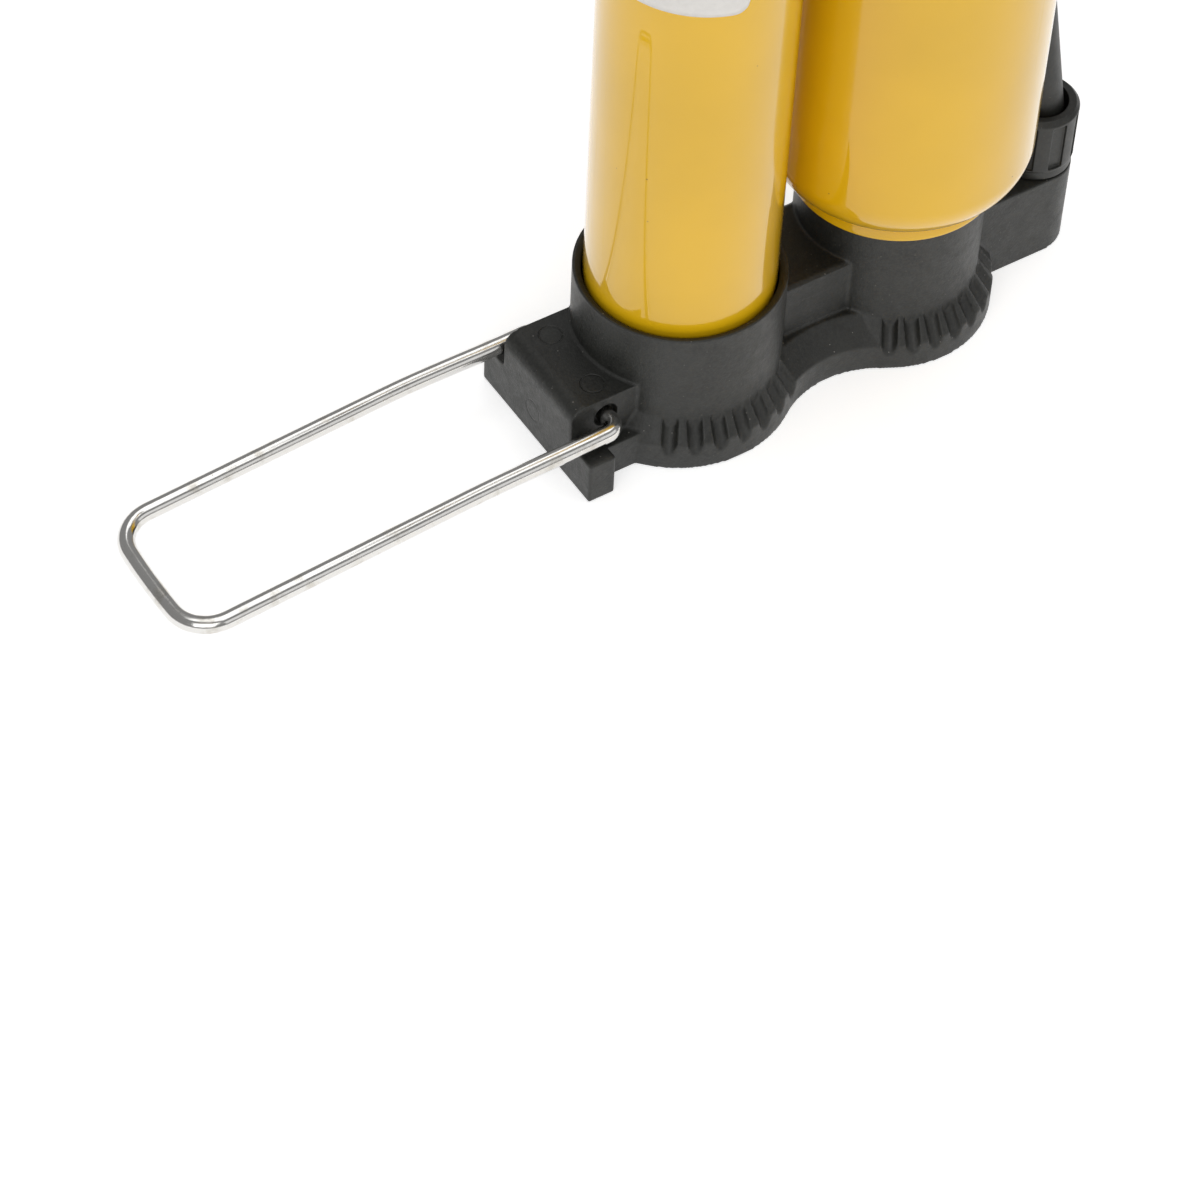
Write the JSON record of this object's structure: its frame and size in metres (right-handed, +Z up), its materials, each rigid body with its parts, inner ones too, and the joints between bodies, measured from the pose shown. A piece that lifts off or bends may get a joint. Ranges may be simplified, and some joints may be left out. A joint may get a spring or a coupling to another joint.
{
  "type": "hand and foot air pump",
  "caption": "Upright hand air pump with a slim barrel, a wider air reservoir beside it, a T-handle, a hose with a lever chuck and a folding wire foot pedal.",
  "frame": {"origin": "on the barrel's axis at the ground the base rests on", "axes": "+Z up along the barrel and the piston stroke; +X from the barrel towards the reservoir and the hose nut; the foot pedal points towards -X"},
  "size_m": [0.18, 0.104, 0.2871],
  "materials": {
    "base_black": "fine-grained moulded plastic",
    "nut_black": "moulded plastic",
    "yellow_paint": "glossy enamel",
    "wire_chrome": "plated steel wire",
    "rod_chrome": "ground and plated",
    "steel": "zinc plated",
    "brass": "turned",
    "rubber": "moulded rubber",
    "hose_rubber": "extruded rubber",
    "grip_rubber": "ribbed soft rubber",
    "chuck_plastic": "moulded plastic",
    "label_paper": "blank satin film"
  },
  "bodies": {
    "pump": {"base": "base_black", "channel_plugs": "brass", "barrel_gasket": "rubber", "barrel": "yellow_paint", "tank_gasket": "rubber", "tank": "yellow_paint", "valve_seat": "brass", "valve_spring": "steel", "valve_cage": "brass", "hose_barb": "brass", "hose_nut": "nut_black", "strain_relief": "nut_black", "hose": "hose_rubber", "hose_ferrule": "steel", "chuck_body": "chuck_plastic", "chuck_seal": "rubber", "chuck_cap": "chuck_plastic", "valve_pusher": "brass", "lever_pin": "steel", "top_bracket": "base_black", "tank_nut": "steel", "rod_bush": "brass", "rod_wiper": "rubber", "blank_label": "label_paper"},
    "pedal": {"foot_pedal": "wire_chrome"},
    "valve": {"valve_disc": "rubber"},
    "lever": {"chuck_lever": "chuck_plastic"},
    "piston": {"piston_head": "base_black", "piston_cup": "rubber", "piston_washer": "steel"},
    "rod": {"piston_rod": "rod_chrome", "rod_nut": "steel", "handle": "base_black", "handle_grips": "grip_rubber", "handle_screw": "steel"}
  },
  "joints": [
    {"name": "pump_stroke", "type": "slide", "parent": "pump", "child": "piston", "axis": [0, 0, 1], "range_m": [0, 0.191]},
    {"name": "handle_spin", "type": "hinge", "parent": "piston", "child": "rod", "pos_m": [0, 0, 0.2], "axis": [0, 0, 1], "continuous": true},
    {"name": "pedal_fold", "type": "hinge", "parent": "pump", "child": "pedal", "pos_m": [-0.0204, 0, 0.0117], "axis": [0, 1, 0], "range_deg": [0, 94]},
    {"name": "valve_lift", "type": "slide", "parent": "pump", "child": "valve", "axis": [0, 0, 1], "range_m": [0, 0.0012], "stiffness_N_per_m": 150, "springref_m": -0.001, "deforming": ["valve_spring"]},
    {"name": "chuck_lever_turn", "type": "hinge", "parent": "pump", "child": "lever", "pos_m": [0.04, 0.03, 0.189], "axis": [0, -1, 0], "range_deg": [0, 90]}
  ]
}
